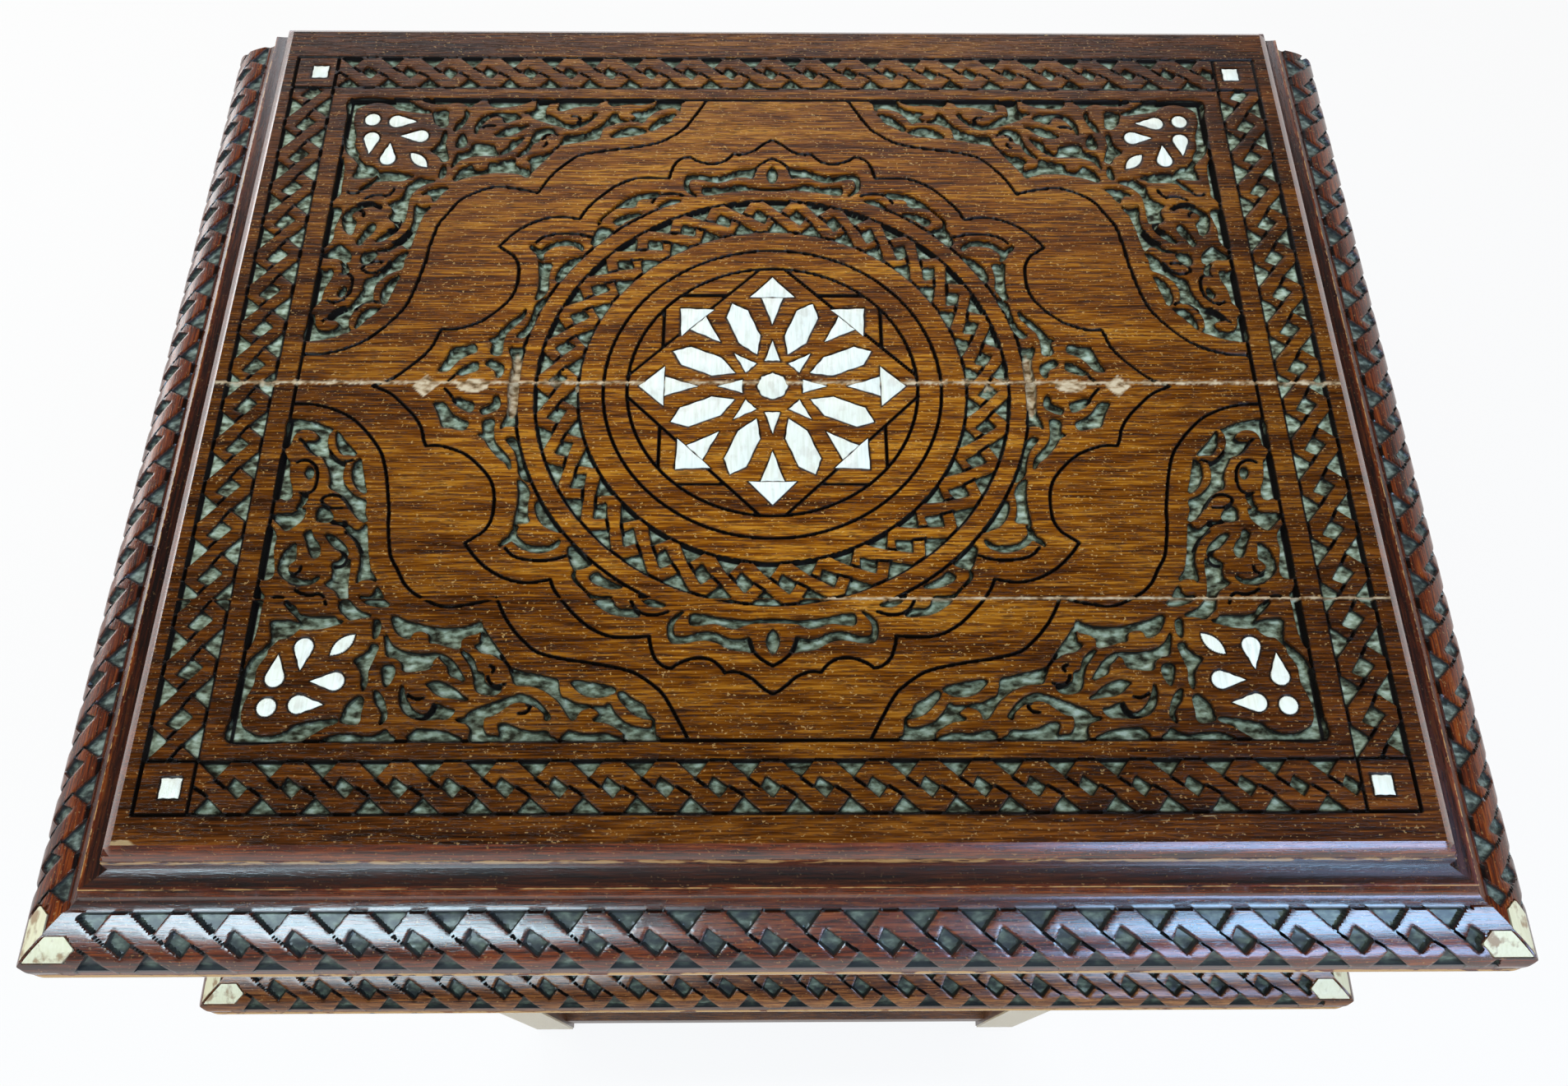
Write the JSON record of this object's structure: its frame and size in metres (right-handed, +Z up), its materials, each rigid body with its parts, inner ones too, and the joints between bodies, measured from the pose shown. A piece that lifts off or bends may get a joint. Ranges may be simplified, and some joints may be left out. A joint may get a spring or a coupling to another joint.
{
  "type": "inlaid box on a stand",
  "caption": "Low hinged-lid wooden box on a four-legged stand with a shelf; carved, bone-inlaid top and moulded edges, mosaic-faced legs.",
  "frame": {"origin": "middle of the floor rectangle under the object", "axes": "+Z up, front of the lid towards -Y, width along X"},
  "size_m": [0.406, 0.33, 0.65],
  "materials": {
    "carved_walnut": "satin varnish over hand carving",
    "moulding_walnut": "glossy dark varnish",
    "walnut": "satin varnish",
    "inner_wood": "plain sanded wood",
    "bone": "polished bone",
    "mosaic": "fine inlaid mosaic, satin",
    "hinge_brass": "dull brass",
    "screw_steel": "plain steel"
  },
  "bodies": {
    "stand": {"apron_back": "walnut", "apron_front": "walnut", "apron_left": "walnut", "apron_right": "walnut", "base_bone_pencils": "bone", "base_rail_front": "moulding_walnut", "base_rail_left": "moulding_walnut", "base_rail_right": "moulding_walnut", "box_bottom": "inner_wood", "box_wall_back": "walnut", "box_wall_front": "walnut", "box_wall_left": "walnut", "box_wall_right": "walnut", "corner_block_screws": "screw_steel", "corner_blocks": "inner_wood", "hinge_box_leaf_left": "hinge_brass", "hinge_box_leaf_right": "hinge_brass", "hinge_box_screws": "hinge_brass", "hinge_pin_left": "hinge_brass", "hinge_pin_right": "hinge_brass", "leg_back_left": "walnut", "leg_back_right": "walnut", "leg_front_left": "walnut", "leg_front_right": "walnut", "leg_mosaic_back_left": "mosaic", "leg_mosaic_back_right": "mosaic", "leg_mosaic_front_left": "mosaic", "leg_mosaic_front_right": "mosaic", "shelf": "walnut", "stretcher_back": "walnut", "stretcher_front": "walnut", "stretcher_left": "walnut", "stretcher_right": "walnut"},
    "lid": {"bone_corner_squares": "bone", "bone_palmette_leaves": "bone", "bone_palmette_petals": "bone", "bone_palmette_rounds": "bone", "bone_star_centre": "bone", "bone_star_darts": "bone", "bone_star_hexagons": "bone", "bone_star_points": "bone", "bone_star_tails": "bone", "hinge_lid_leaf_left": "hinge_brass", "hinge_lid_leaf_right": "hinge_brass", "hinge_lid_screws": "hinge_brass", "lid_batten_left": "inner_wood", "lid_batten_right": "inner_wood", "lid_board_back": "carved_walnut", "lid_board_front": "carved_walnut", "lid_board_middle": "carved_walnut", "lid_bone_pencils": "bone", "lid_rail_back": "moulding_walnut", "lid_rail_front": "moulding_walnut", "lid_rail_left": "moulding_walnut", "lid_rail_right": "moulding_walnut"}
  },
  "joints": [
    {"name": "lid_hinge", "type": "hinge", "parent": "stand", "child": "lid", "pos_m": [0, 0.1624, 0.6228], "axis": [-1, 0, 0], "range_deg": [0, 95]}
  ]
}
